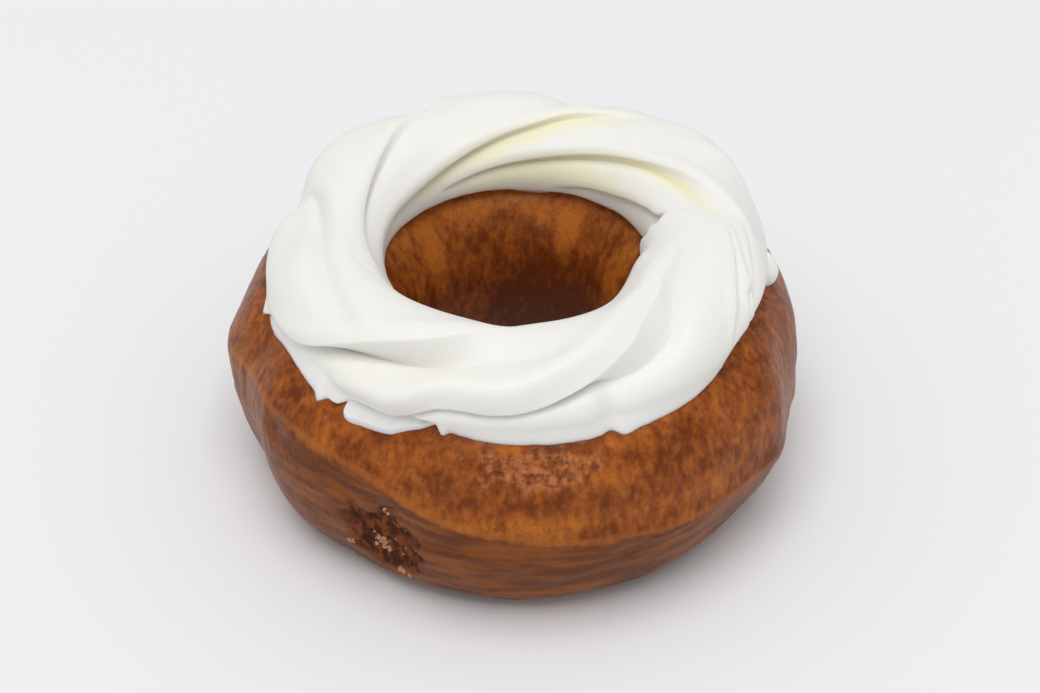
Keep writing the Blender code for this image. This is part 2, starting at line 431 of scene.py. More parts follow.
glaze, glaze_shader = new_material("sugar glaze over fried crust")
where = add_node(glaze, "TexCoord").outputs["Object"]
blotches = add_node(
    glaze, "TexNoise",
    {"Vector": where, "Scale": 1 / (BLOTCH_MM * MM), "Detail": 3.0, "Roughness": 0.6,
     "Distortion": 0.2},
).outputs["Fac"]
drawn_out = add_node(
    glaze, "Mapping", {"Vector": where, "Scale": (1.0, 1.0, MOTTLE_DRAWN_OUT)},
).outputs["Vector"]
mottle = add_node(
    glaze, "TexNoise",
    {"Vector": drawn_out, "Scale": 1 / (MOTTLE_MM * MM), "Detail": 2.0, "Roughness": 0.5,
     "Distortion": 0.2},
).outputs["Fac"]
flecks = add_node(
    glaze, "TexNoise",
    {"Vector": where, "Scale": 1 / (FLECK_MM * MM), "Detail": 2.0, "Roughness": 0.6},
).outputs["Fac"]
flattened = add_node(
    glaze, "Mapping", {"Vector": where, "Scale": (1.0, 1.0, OIL_LINE_FLATNESS)},
).outputs["Vector"]
oil_lines = add_node(
    glaze, "TexNoise",
    {"Vector": flattened, "Scale": 1 / (OIL_LINE_MM * MM), "Detail": 3.0, "Roughness": 0.5},
).outputs["Fac"]

# Cracks run where a wandering noise crosses its middle.
wandering = add_node(
    glaze, "TexNoise",
    {"Vector": where, "Scale": 1 / (CRACK_MM * MM), "Detail": 2.0, "Roughness": 0.6,
     "Distortion": 0.1},
).outputs["Fac"]
past_crack = add_node(glaze, "Math", {0: wandering, 1: 0.5}, operation="SUBTRACT").outputs[0]
from_crack = add_node(glaze, "Math", {0: past_crack}, operation="ABSOLUTE").outputs[0]

uneven_light_and_shade = add_node(glaze, "Attribute", attribute_name="browning_light_and_shade").outputs["Fac"]
in_band = add_node(glaze, "Attribute", attribute_name="band").outputs["Fac"]
in_rim_highlight = add_node(glaze, "Attribute", attribute_name="rim").outputs["Fac"]
in_torn = add_node(glaze, "Attribute", attribute_name="torn").outputs["Fac"]
in_cracked = add_node(glaze, "Attribute", attribute_name="cracked").outputs["Fac"]
in_haze_and_sheen = add_node(glaze, "Attribute", attribute_name="haze_and_sheen").outputs["Fac"]

# How brown the crust is: its blotches and mottling, the places that frying browned more, and the
# painted light and shade inside the hole.
blotched_light_and_shade = add_node(
    glaze, "Math", {0: blotches, 1: BLOTCH_SHARE, 2: uneven_light_and_shade}, operation="MULTIPLY_ADD",
).outputs[0]
browned_light_and_shade = add_node(
    glaze, "Math", {0: mottle, 1: MOTTLE_SHARE, 2: blotched_light_and_shade}, operation="MULTIPLY_ADD",
).outputs[0]

# The colours, one over another: the mottled crust, the dull band, the glaze's rim with its painted
# highlight, the milky haze and painted sheen down the left side, the cracked place with its painted
# highlight, and the torn place.
colour = mixed(glaze, share_of(glaze, browned_light_and_shade, 0.70, 1.18, 1.0), FRIED_BROWN, DARK_BROWN)
colour = mixed(glaze, share_of(glaze, browned_light_and_shade, 0.86, 0.44, 1.0), colour, GLAZED_GOLD)
colour = mixed(glaze, share_of(glaze, flecks, 0.48, 0.76, 0.36), colour, DARK_SPECK)
streaked = mixed(glaze, share_of(glaze, oil_lines, 0.42, 0.62, 0.9), DULL_BAND, BAND_STREAK)
colour = mixed(glaze, share_of(glaze, in_band, 0.0, 1.0, 0.88), colour, streaked)
colour = mixed(glaze, share_of(glaze, in_rim_highlight, 0.2, 1.0, 0.5), colour, GLAZE_RIM_HIGHLIGHT)
colour = mixed(glaze, share_of(glaze, in_haze_and_sheen, 0.0, 1.0, 0.38), colour, MILKY_HAZE_AND_SHEEN)
# The cracked place: dark brown crust with a painted pink highlight on its wrinkles, and darker in
# the cracks.
cracked_tones_and_highlights = mixed(glaze, share_of(glaze, mottle, 0.38, 0.66, 0.8), CRACKED_HIGHLIGHT, DARK_BROWN)
in_crack = share_of(glaze, from_crack, 0.07, 0.0, 0.38)
cracked_tones_and_highlights = mixed(glaze, in_crack, cracked_tones_and_highlights, DARK_SPECK)
colour = mixed(glaze, share_of(glaze, in_cracked, 0.0, 1.0, 0.66), colour, cracked_tones_and_highlights)
crumb = mixed(glaze, share_of(glaze, mottle, 0.45, 0.66, 0.9), TORN_CRUMB, TORN_LIGHT)
colour = mixed(glaze, share_of(glaze, in_torn, 0.1, 0.9, 0.95), colour, crumb)
roughness = add_node(
    glaze, "MapRange",
    {"Value": in_torn, "From Min": 0.0, "From Max": 1.0, "To Min": GLAZE_ROUGHNESS,
     "To Max": CRUMB_ROUGHNESS},
).outputs["Result"]
mottle_bump = add_node(
    glaze, "Bump",
    {"Height": mottle, "Strength": BUMP_STRENGTH, "Distance": MOTTLE_DEPTH_MM * MM},
)
cracked_height = share_of(glaze, from_crack, 0.0, 0.14, 1.0)
cracked_bump = add_node(
    glaze, "Bump",
    {"Height": cracked_height, "Strength": in_cracked, "Distance": CRACK_DEPTH_MM * MM,
     "Normal": mottle_bump.outputs["Normal"]},
)
fine_bump = add_node(
    glaze, "Bump",
    {"Height": flecks, "Strength": BUMP_STRENGTH, "Distance": FLECK_DEPTH_MM * MM,
     "Normal": cracked_bump.outputs["Normal"]},
)
links = glaze.node_tree.links
links.new(colour, glaze_shader.inputs["Base Color"])
links.new(roughness, glaze_shader.inputs["Roughness"])
links.new(fine_bump.outputs["Normal"], glaze_shader.inputs["Normal"])
glaze_shader.inputs["Specular IOR Level"].default_value = GLAZE_SPECULAR
glaze_shader.inputs["IOR"].default_value = GLAZE_IOR
doughnut.data.materials.append(glaze)
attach(doughnut, "root")
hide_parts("doughnut")


# ---------------------------------------------------------------- crumbs at the torn place
# Loose pale crumbs and flakes of dry sugar where the crust was torn on the side. They stick to
# the rough cake.

# Clusters: (azimuth, tube angle, spread in mm, number of crumbs, size in mm).
CRUMB_CLUSTERS = (
    (-119.5, -18.0, 0.8, 14, 0.42), (-118.0, -24.0, 0.6, 8, 0.36), (-127.5, -28.0, 0.6, 6, 0.32),
    (-115.4, -38.0, 0.4, 5, 0.40), (-117.2, 4.0, 0.5, 5, 0.34), (-115.0, -12.0, 2.6, 9, 0.20),
)
DRY_SUGAR = linear("#C08E68")

bpy.ops.object.select_all(action="DESELECT")
chance = random.Random(7)
turns = np.random.default_rng(7)
crumb_objects = []
for around_place, up_place, spread, count, size in CRUMB_CLUSTERS:
    for _ in range(count):
        place = around_place + math.degrees(chance.gauss(0, spread) / SIDE_ARC_RADIUS)
        tilt = up_place + math.degrees(chance.gauss(0, spread) / SECTION_ARC_RADIUS)
        i = round(place / 360.0 * CRUST_AROUND) % CRUST_AROUND
        j = round(tilt / 360.0 * CRUST_SECTION) % CRUST_SECTION
        bpy.ops.mesh.primitive_ico_sphere_add(subdivisions=2, radius=1.0)
        one = bpy.context.object
        shape = np.array([v.co for v in one.data.vertices])
        half = [chance.uniform(*span) for span in ((0.5, 1.5), (0.5, 1.2), (0.4, 0.9))]
        jagged = 1.0 + 0.5 * rough(shape, 0.8, 2, chance.uniform(0, 50))
        shape = shape * (size * np.array(half)) * jagged[:, None]
        shape = shape @ np.linalg.qr(turns.normal(size=(3, 3)))[0]
        move_vertices(one.data, shape + crust_grid[i, j])
        crumb_objects.append(one)
for one in crumb_objects:
    one.select_set(True)
bpy.context.view_layer.objects.active = crumb_objects[0]
bpy.ops.object.join()
crumbs = bpy.context.object
crumbs.name = crumbs.data.name = "torn_crumbs"
bpy.ops.object.shade_smooth()
sugar, sugar_shader = new_material("dry sugar and crumb")
sugar_shader.inputs["Base Color"].default_value = DRY_SUGAR
sugar_shader.inputs["Roughness"].default_value = 0.7
crumbs.data.materials.append(sugar)
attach(crumbs, "root")


# ---------------------------------------------------------------- piped cream
# One ring of stiff whipped cream, piped through a star tip with a turn of the wrist, so that
# its ridges wind over each other like a rope. It clings to the glaze by its own stickiness.

CREAM_RADIUS = 30.7
CREAM_HEIGHT = 38.6
CREAM_HALF_WIDTH = 9.4
CREAM_HALF_HEIGHT = 8.8

# The cream's mesh: columns round the ring, rows over the tube and rows under it on the crust.
CREAM_AROUND = 702
OVER_ROWS = 119
UNDER_ROWS = 22

# The cream stays this many mm clear of the crust. Near each foot the tube bends to meet it, over
# so many degrees of its section, and where it leaves the crust is smoothed over some columns.
SEAT_GAP = 0.05
FOOT_REACH = 16.0
END_SMOOTHING = 13

# A fold steps down from its edge, which is a line over the tube. The step goes outwards (-1) or
# towards the hole (+1) and fades in and out over so many degrees of azimuth. Each place of the
# line holds: azimuth, tube angle, depth of the step in mm, the degrees it takes, the degrees the
# cream takes to rise again, height of the rolled rim in mm, how many degrees the rim's crown
# lies behind the edge, and how far it hangs over in mm.
Fold = namedtuple("Fold", "side fade places")
FOLDS = (
    # The big left lobe, over the front one.
    Fold(-1, (10, 24), (
        (-178, -32, 0.5, 3, 5, 0.2, 6, 0.2), (-170, -22, 0.9, 3, 5, 0.3, 6, 0.4),
        (-160, -6, 1.2, 3, 6, 0.4, 6, 0.5), (-152, 4, 1.5, 3, 7, 0.5, 6, 0.6),
        (-146, 12, 2.6, 4, 9, 0.6, 8, 0.8), (-138, 30, 3.7, 10, 12, 0.6, 10, 0.9),
        (-131, 48, 4.4, 18, 13, 0.5, 12, 0.9), (-123, 64, 4.8, 24, 14, 0.5, 12, 0.9),
        (-115, 77, 4.8, 28, 14, 0.5, 12, 0.8), (-109, 88, 4.4, 32, 15, 0.4, 12, 0.7),
        (-103, 101, 3.6, 38, 16, 0.3, 10, 0.5), (-95, 114, 2.3, 46, 18, 0.3, 8, 0.2),
        (-84, 126, 1.3, 54, 20, 0.1, 8, 0.0), (-62, 138, 0.8, 54, 20, 0.0, 8, 0.0),
    )),
    # The front lobe's long lip, which climbs to the torn join on the right.
    Fold(-1, (6, 12), (
        (-137, -22, 0.6, 4, 5, 0.5, 12, 0.3), (-131, -16, 1.8, 5, 4, 0.9, 18, 0.6),
        (-124, -12, 3.2, 7, 3, 1.5, 21, 0.9), (-119, -10, 3.6, 7, 3, 1.6, 20, 0.9),
        (-115, -3, 3.8, 7, 3, 1.7, 20, 0.9), (-111, 8, 4.0, 7, 3, 1.7, 20, 1.0),
        (-107, 18, 4.2, 7, 3, 1.7, 19, 1.2), (-103, 20, 4.3, 7, 3, 1.7, 18, 1.2),
        (-96, 19, 4.4, 7, 3, 1.7, 18, 1.2), (-90, 21, 4.3, 7, 3, 1.7, 20, 1.2),
        (-85, 26, 3.6, 7, 4, 1.6, 23, 1.1), (-79, 33, 2.8, 7, 7, 1.5, 26, 0.7),
        (-72, 44, 2.6, 10, 12, 1.3, 28, 0.5), (-66, 56, 3.0, 25, 14, 1.1, 26, 0.4),
        (-60, 69, 3.2, 36, 14, 1.0, 26, 0.4), (-55, 83, 3.4, 43, 14, 0.9, 22, 0.4),
        (-49, 94, 3.2, 40, 14, 0.8, 18, 0.4), (-44, 101, 2.8, 26, 14, 0.7, 14, 0.4),
        (-36, 112, 2.0, 16, 14, 0.6, 12, 0.3), (-29, 116, 1.4, 12, 14, 0.5, 10, 0.3),
        (-20, 119, 0.8, 8, 12, 0.4, 8, 0.2), (-8, 122, 0.4, 6, 12, 0.3, 8, 0.1),
    )),
    # Strips at the right, where the nozzle was lifted.
    Fold(-1, (6, 12), (
        (-39, -30, 0.8, 4, 12, 0.3, 5, 0.1), (-35, 18, 1.1, 5, 12, 0.4, 5, 0.1),
        (-30, 37, 1.1, 5, 12, 0.4, 5, 0.1), (-22, 57, 0.8, 5, 12, 0.3, 5, 0.1),
        (-16, 66, 0.6, 4, 10, 0.2, 5, 0.2), (-2, 84, 0.4, 5, 10, 0.1, 5, 0.1),
    )),
    Fold(-1, (5, 10), (
        (-30, -30, 0.6, 5, 8, 0.3, 5, 0.0), (-25, 28, 0.8, 6, 8, 0.3, 5, 0.0),
        (-20, 39, 0.6, 6, 8, 0.2, 5, 0.0), (-16, 52, 0.4, 6, 8, 0.1, 5, 0.0),
        (-8, 68, 0.3, 6, 8, 0.1, 5, 0.0), (2, 80, 0.2, 3, 6, 0.0, 4, 0.0),
    )),
    Fold(-1, (5, 10), (
        (-26, -30, 0.6, 5, 8, 0.3, 5, 0.0), (-22, 24, 0.7, 6, 8, 0.3, 5, 0.0),
        (-19, 32, 0.5, 6, 8, 0.2, 5, 0.0), (-14, 44, 0.4, 6, 8, 0.1, 5, 0.0),
        (-6, 55, 0.3, 6, 8, 0.1, 5, 0.0), (4, 66, 0.2, 3, 6, 0.0, 4, 0.0),
    )),
    # The right lobe, over the thin layer round the back of the hole.
    Fold(1, (14, 10), (
        (-10, 44, 0.3, 30, 14, 0.3, 6, 0.1), (1, 61, 0.7, 34, 14, 0.5, 7, 0.2),
        (8, 76, 0.8, 28, 14, 0.4, 7, 0.2), (15, 89, 1.1, 21, 14, 0.5, 7, 0.3),
        (22, 100, 1.2, 16, 14, 0.5, 7, 0.3), (37, 119, 1.2, 9, 14, 0.6, 7, 0.4),
        (54, 134, 1.1, 8, 14, 0.6, 7, 0.3), (72, 147, 1.0, 8, 12, 0.6, 7, 0.3),
        (89, 157, 1.0, 7, 12, 0.5, 7, 0.3), (98, 162, 0.9, 6, 10, 0.4, 6, 0.2),
        (112, 170, 0.7, 5, 8, 0.3, 6, 0.2), (127, 180, 0.5, 3, 8, 0.2, 6, 0.2),
    )),
    # The thin layer's own lip, over the cream that clings to the wall of the hole.
    Fold(1, (5, 14), (
        (7, 128, 0.7, 5, 30, 0.2, 5, 0.2), (11, 141, 1.0, 5, 30, 0.3, 5, 0.3),
        (22, 153, 1.0, 5, 30, 0.3, 5, 0.3), (36, 163, 1.0, 5, 30, 0.3, 5, 0.3),
        (47, 170, 0.9, 5, 30, 0.3, 5, 0.3), (57, 175, 0.6, 5, 30, 0.2, 5, 0.2),
        (78, 190, 0.3, 4, 30, 0.1, 5, 0.2),
    )),
    # Two lobes at the back left.
    Fold(1, (20, 20), (
        (46, 58, 0.3, 6, 28, 0.2, 7, 0.1), (60, 80, 0.6, 5, 28, 0.4, 7, 0.2),
        (71, 97, 0.8, 4, 28, 0.5, 7, 0.3), (82, 114, 0.9, 3, 28, 0.6, 7, 0.4),
        (97, 130, 1.0, 4, 26, 0.6, 7, 0.3), (116, 147, 1.2, 5, 22, 0.6, 7, 0.3),
        (140, 162, 1.2, 6, 20, 0.5, 7, 0.3), (160, 167, 1.1, 6, 20, 0.4, 7, 0.2),
        (185, 174, 0.8, 4, 20, 0.3, 7, 0.3), (207, 184, 0.4, 4, 20, 0.2, 7, 0.2),
    )),
    Fold(1, (16, 18), (
        (106, 46, 0.4, 6, 30, 0.2, 7, 0.1), (117, 64, 0.8, 5, 30, 0.3, 7, 0.2),
        (123, 76, 0.9, 6, 30, 0.3, 7, 0.1), (139, 103, 1.1, 8, 26, 0.4, 7, 0.1),
        (156, 121, 1.1, 8, 22, 0.4, 7, 0.1), (176, 132, 1.0, 7, 20, 0.3, 7, 0.1),
        (196, 137, 0.7, 5, 20, 0.3, 7, 0.2), (216, 141, 0.3, 6, 20, 0.1, 7, 0.1),
    )),
    # Lobes round the far side.
    Fold(-1, (14, 14), (
        (84, -40, 1.6, 3, 12, 0.6, 8, 0.6), (104, 20, 2.0, 6, 16, 0.6, 8, 0.7),
        (116, 60, 1.6, 14, 24, 0.5, 8, 0.5), (130, 96, 0.6, 18, 28, 0.3, 8, 0.2),
    )),
    Fold(-1, (14, 14), (
        (36, -40, 1.6, 3, 12, 0.6, 8, 0.6), (56, 20, 2.2, 6, 16, 0.6, 8, 0.7),
        (66, 60, 1.6, 14, 24, 0.5, 8, 0.5), (78, 96, 0.6, 18, 28, 0.3, 8, 0.2),
    )),
    Fold(-1, (14, 14), (
        (-8, -40, 0.9, 3, 10, 0.5, 8, 0.5), (12, 6, 1.2, 6, 14, 0.5, 8, 0.5),
        (28, 44, 1.0, 14, 20, 0.4, 8, 0.3), (42, 76, 0.4, 18, 24, 0.2, 8, 0.1),
    )),
)

# Soft valleys and fine creases. Each place of a line holds: azimuth, tube angle, spread in
# degrees, height in mm.
CREASES = (
    ((160, 40, 14, -0.6), (165, 62, 14, -1.3), (173, 82, 14, -1.9), (184, 88, 14, -2.0),
     (197, 83, 14, -1.9), (210, 75, 14, -1.5), (222, 63, 12, -0.8), (230, 54, 10, -0.1)),
    ((-162, 108, 2, 0.0), (-157, 114, 2, -0.10), (-150, 120, 2, -0.12), (-144, 122, 2, -0.10),
     (-138, 126, 2, 0.0)),
    ((26, 122, 2, 0.0), (34, 130, 2, -0.12), (46, 140, 2, -0.14), (58, 149, 2, -0.10),
     (70, 156, 2, 0.0)),
)

# Crowns and hollows of the separate folds: (azimuth, tube angle, spread along and across in
# degrees, height in mm).
CREAM_SWELLS = (
    (98.0, 64.0, 20.0, 40.0, 0.5),
    (36.0, 40.0, 14.0, 28.0, 2.0),
    (72.0, 52.0, 8.0, 28.0, -2.1),
    (122.0, 62.0, 8.0, 20.0, -0.4),
    (140.0, 40.0, 12.0, 26.0, 0.9),
    (161.0, 14.0, 7.0, 28.0, -2.0),
    (176.0, 56.0, 14.0, 34.0, -2.9),
    (163.0, 50.0, 8.0, 34.0, -1.2),
    (112.0, 77.0, 6.0, 16.0, -0.5),
    (-85.0, 88.0, 13.0, 28.0, -0.9),
    (-32.0, 142.0, 19.0, 34.0, 1.0),
    (-18.0, 154.0, 9.0, 18.0, 0.6),
    (-138.0, 156.0, 12.0, 22.0, -1.3),
    (-94.0, 128.0, 9.0, 18.0, -0.7),
    (-70.0, 2.0, 2.6, 34.0, -1.0),
    (4.0, 30.0, 15.0, 36.0, -0.9),
    (-22.0, -26.0, 14.0, 24.0, -3.0),
)

# The torn end of the last lobe, high over the hole: (tube angle, azimuth where it stops).
TORN_END = (
    (100, 4.0), (118, 6.0), (132, 9.0), (139, 8.0), (146, 6.0), (154, 7.0), (160, 5.0), (168, 7.0),
    (179, 7.0), (200, 8.0),
)

# It stands so many mm over the next lobe and stops within so many degrees. Behind its end the
# rise fades out, and across the tube it is highest at the tilt.
TORN_END_STANDS = 1.8
TORN_END_STEP = 1.5
TORN_LOBE_BACK, TORN_LOBE_FADE = 58.0, 36.0
TORN_LOBE_TILT, TORN_LOBE_SPREAD = 172.0, 38.0

# The foot of the cream. Outside: (azimuth, distance from the hole's centre in mm). Inside:
# (azimuth, tube angle of the crust there).
OUTER_FOOT = (
    (-180, 40.2), (-170, 39.9), (-164, 40.3), (-154, 40.0), (-146, 40.4), (-141, 40.8),
    (-138.5, 41.0), (-137, 41.5), (-135.5, 40.7), (-131, 39.9), (-128.5, 38.6), (-121, 38.0),
    (-113, 37.0), (-109.6, 36.3), (-108.4, 37.8), (-106.9, 39.5), (-106.2, 39.7), (-104.8, 39.3),
    (-102.5, 39.4), (-98, 39.7), (-92, 39.9), (-85, 40.0), (-78, 40.1), (-72, 39.9), (-69.5, 39.6),
    (-67.5, 40.4), (-63, 40.3), (-58, 40.1), (-49.5, 39.9), (-41.5, 39.3), (-32, 38.3),
    (-23.5, 37.9), (-12.5, 37.1), (-7.5, 37.3), (-3.5, 38.0), (4, 38.6), (12, 39.4), (30, 40.2),
    (60, 40.6), (90, 40.4), (120, 40.2), (150, 40.4), (173, 40.8), (180, 40.2),
)
INNER_FOOT = (
    (-180, 133), (-160, 139), (-90, 142), (-40, 142), (-10, 139), (10, 131), (20, 125),
    (26.2, 122), (28.5, 120), (35, 115.5), (39.5, 113.5), (42.5, 114.5), (45, 118.5), (48, 122),
    (51, 122.5), (56.5, 121), (63, 117.5), (67, 118.5), (73, 121), (79, 124), (87.5, 124),
    (97, 121), (105, 118.5), (111, 118.5), (117, 116.5), (120.5, 118.5), (127, 122),
    (136.5, 121.5), (143, 123.5), (152, 122), (161, 125), (169, 130), (180, 133),
)

# The step's wall is steep at its edge and eases out, and the rolled rim is a bead above it that
# is wider where its crown lies further back.
WALL_CURVE = 1.5
BEAD_SPREAD = 7.0
BEAD_WIDENS = 0.35


def fold_step(azimuth, tube_angle, fold):
    """How far one fold lifts the cream, and how far it pushes it over its edge, in mm."""
    first, last = fold.places[0][0], fold.places[-1][0]
    along = first + (azimuth - first) % 360.0
    present = ease((along - first) / fold.fade[0]) * ease((last - along) / fold.fade[1])
    edge, depth, slope, rise, rim, crown_back, overhang = (
        smooth_line(along, [(place[0], place[k]) for place in fold.places]) for k in range(1, 8)
    )
    below = fold.side * (tube_angle - edge)
    wall = 1.0 - (1.0 - np.clip(below / slope, 0.0, 1.0)) ** WALL_CURVE
    spread = BEAD_SPREAD + BEAD_WIDENS * crown_back
    bead = rim * hump((below + crown_back) / spread) * (1.0 - wall)
    hollow = depth * wall * np.exp(-np.maximum(below - slope, 0.0) / rise)
    push = overhang * hump(np.minimum(below, 0.0) / spread) * (1.0 - wall)
    return present * (bead - hollow), present * fold.side * push


def along_line(azimuth, tube_angle, places):
    """A smooth ridge along a line of (azimuth, tube angle, spread, height) places."""
    first, last = places[0][0], places[-1][0]
    along = first + (azimuth - first) % 360.0
    centre, spread, height = (smooth_line(along, [(p[0], p[k]) for p in places]) for k in (1, 2, 3))
    return np.where(along < last, height * hump((tube_angle - centre) / spread), 0.0)


def cream_section(azimuth, tube_angle):
    """Radius and height of the whole piped tube, also where the doughnut is in its way."""
    lift = np.zeros(np.broadcast(azimuth, tube_angle).shape)
    push = np.zeros_like(lift)
    for fold in FOLDS:
        one_lift, one_push = fold_step(azimuth, tube_angle, fold)
        lift += one_lift
        push += one_push
    for places in CREASES:
        lift += along_line(azimuth, tube_angle, places)
    for centre, tilt, spread, tilt_spread, rise in CREAM_SWELLS:
        along = turn_between(azimuth, centre) / spread
        lift += rise * hump(along) * hump(turn_between(tube_angle, tilt) / tilt_spread)
    turned = turn_between(azimuth, 0.0)
    lobe_end = smooth_line(tube_angle, TORN_END)
    on_lobe = ease((lobe_end - turned) / TORN_END_STEP)
    on_lobe *= ease((turned + TORN_LOBE_BACK) / TORN_LOBE_FADE)
    lift += TORN_END_STANDS * on_lobe * hump((tube_angle - TORN_LOBE_TILT) / TORN_LOBE_SPREAD)
    angle = np.radians(tube_angle)
    radius = CREAM_RADIUS + (CREAM_HALF_WIDTH + lift) * np.cos(angle) - push * np.sin(angle)
    height = CREAM_HEIGHT + (CREAM_HALF_HEIGHT + lift) * np.sin(angle) + push * np.cos(angle)
    return radius, height


# The seat: the crust that the cream lies on, as a turn and a distance about the middle of its
# section, at each column of the cream.
MIDDLE = SECTION_HALF_HEIGHT - BASE_SINK
column_azimuth = np.arange(CREAM_AROUND) * 360.0 / CREAM_AROUND
beside = np.arange(CREAM_AROUND) / CREAM_AROUND * CRUST_AROUND
share = (beside % 1.0)[:, None, None]
beside = beside.astype(int)
crust_columns = crust_grid[beside] * (1.0 - share)
crust_columns += crust_grid[(beside + 1) % CRUST_AROUND] * share
seat = []
for x, y, z in crust_columns.transpose(0, 2, 1):
    across = np.hypot(x - RING_CENTRE[0], y - RING_CENTRE[1]) - RING_RADIUS
    turn = np.degrees(np.arctan2(z - MIDDLE, across)) % 360.0
    order = np.argsort(turn)
    seat.append((turn[order], np.hypot(across, z - MIDDLE)[order] + SEAT_GAP, across))


def to_seat(i, radius, height):
    """The turn about the crust's middle, the distance from it and the seat's distance there."""
    turn = np.degrees(np.arctan2(height - MIDDLE, radius - RING_RADIUS))
    distance = np.hypot(radius - RING_RADIUS, height - MIDDLE)
    return turn, distance, np.interp(turn, seat[i][0], seat[i][1], period=360.0)


def from_seat(turn, distance):
    turn = np.radians(turn)
    return RING_RADIUS + distance * np.cos(turn), MIDDLE + distance * np.sin(turn)


# Where the tube first and last stands clear of the crust, smoothed round the ring.
FINE_ANGLES = np.linspace(-75.0, 255.0, 1101)
fine_radius, fine_height = cream_section(column_azimuth[:, None], FINE_ANGLES[None, :])
tube_ends = []
for i in range(CREAM_AROUND):
    turn, distance, seat_distance = to_seat(i, fine_radius[i], fine_height[i])
    clear = np.flatnonzero(distance > seat_distance)
    tube_ends.append((FINE_ANGLES[clear[0]], FINE_ANGLES[clear[-1]]))
window = np.hanning(END_SMOOTHING)
window /= window.sum()
tube_ends = np.array(tube_ends)
tube_ends = sum(
    w * np.roll(tube_ends, k - END_SMOOTHING // 2, axis=0) for k, w in enumerate(window)
)

# Rows lie close where the section turns and wide where it runs straight, much as on the columns
# beside them.
TURN_WEIGHT = 0.9
SHARPEST_TURN = 0.2
step = np.hypot(np.diff(fine_radius, axis=1), np.diff(fine_height, axis=1))
heading = np.unwrap(np.arctan2(np.diff(fine_height, axis=1), np.diff(fine_radius, axis=1)), axis=1)
weight = step + TURN_WEIGHT * np.minimum(np.abs(np.gradient(heading, axis=1)), SHARPEST_TURN)
weight = sum(np.roll(weight, k, axis=0) for k in range(-3, 4))
running = np.concatenate([np.zeros((CREAM_AROUND, 1)), np.cumsum(weight, axis=1)], axis=1)

outer_foot = smooth_line(turn_between(column_azimuth, 0.0), OUTER_FOOT)
inner_foot = smooth_line(turn_between(column_azimuth, 0.0), INNER_FOOT)

# Each column of the cream: over the tube from foot to foot, then back under it on the crust.
cream, column, row = fine_torus("piped_cream", CREAM_AROUND, OVER_ROWS + UNDER_ROWS)
grid = np.empty((CREAM_AROUND, OVER_ROWS + UNDER_ROWS, 3))
angle_grid = np.full((CREAM_AROUND, OVER_ROWS + UNDER_ROWS), -90.0)
under_share = ease(np.arange(1, UNDER_ROWS + 1) / (UNDER_ROWS + 1.0))
crust_angles = np.arange(CRUST_SECTION) * 360.0 / CRUST_SECTION
for i in range(CREAM_AROUND):
    ends = np.interp(tube_ends[i], FINE_ANGLES, running[i])
    angles = np.interp(np.linspace(*ends, OVER_ROWS), running[i], FINE_ANGLES)
    radius = np.interp(angles, FINE_ANGLES, fine_radius[i])
    height = np.interp(angles, FINE_ANGLES, fine_height[i])
    top = crust_columns[i, : CRUST_SECTION // 4]
    top_radius = RING_RADIUS + seat[i][2][: CRUST_SECTION // 4]
    outer = outer_foot[i], np.interp(outer_foot[i], top_radius[::-1], top[::-1, 2])
    inner = (
        RING_RADIUS + np.interp(inner_foot[i], crust_angles, seat[i][2]),
        np.interp(inner_foot[i], crust_angles, crust_columns[i, :, 2]),
    )
    out_share = 1.0 - ease((angles - angles[0]) / FOOT_REACH)
    in_share = 1.0 - ease((angles[-1] - angles) / FOOT_REACH)
    radius = radius + out_share * (outer[0] - radius[0]) + in_share * (inner[0] - radius[-1])
    height = height + out_share * (outer[1] - height[0]) + in_share * (inner[1] - height[-1])
    turn, distance, seat_distance = to_seat(i, radius, height)
    radius, height = from_seat(turn, np.maximum(distance, seat_distance))
    under_turn = turn[-1] + (turn[0] - turn[-1]) * under_share
    under_distance = np.interp(under_turn, seat[i][0], seat[i][1], period=360.0)
    under_radius, under_height = from_seat(under_turn, under_distance)
    radius = np.concatenate([radius, under_radius])
    height = np.concatenate([height, under_height])
    grid[i] = on_ring(column_azimuth[i], radius, height)
    angle_grid[i, :OVER_ROWS] = angles
move_vertices(cream.data, grid[column, row])

# Painted warm shade, standing in for light that has passed through the most cream: in the deep
# folds round the back of the hole and under the left lobe. Each place holds: azimuth, tube angle,
# spread in degrees, how warm.
PAINTED_WARM_SHADE_FOLDS = (
    ((46, 88, 10, 0.0), (71, 106, 12, 0.7), (85, 128, 12, 0.8), (106, 148, 12, 0.7),
     (140, 172, 12, 0.4), (165, 180, 12, 0.0)),
    ((-4, 80, 8, 0.0), (6, 98, 8, 0.5), (20, 112, 8, 0.9), (36, 125, 7, 0.9), (54, 138, 7, 0.7),
     (80, 156, 7, 0.6), (112, 172, 7, 0.0)),
    ((18, 160, 14, 0.0), (54, 164, 14, 0.7), (74, 170, 14, 0.8), (100, 180, 14, 0.6),
     (130, 190, 14, 0.0)),
    ((-146, 0, 10, 0.0), (-127, 20, 14, 0.12), (-112, 46, 14, 0.15), (-94, 58, 14, 0.0)),
)
vertex_angle = angle_grid[column, row]
painted_warm_shade = sum(along_line(column_azimuth[column], vertex_angle, places) for places in PAINTED_WARM_SHADE_FOLDS)
vertex_value(cream.data, "painted_warm_shade", np.clip(painted_warm_shade, 0.0, 1.0))

# Whipped cream: white and satin, with light passing some way into it, so its folds stay soft
# and their shadows warm. Red goes furthest into it and blue least.
CREAM_WHITE = linear("#F1F0EB")
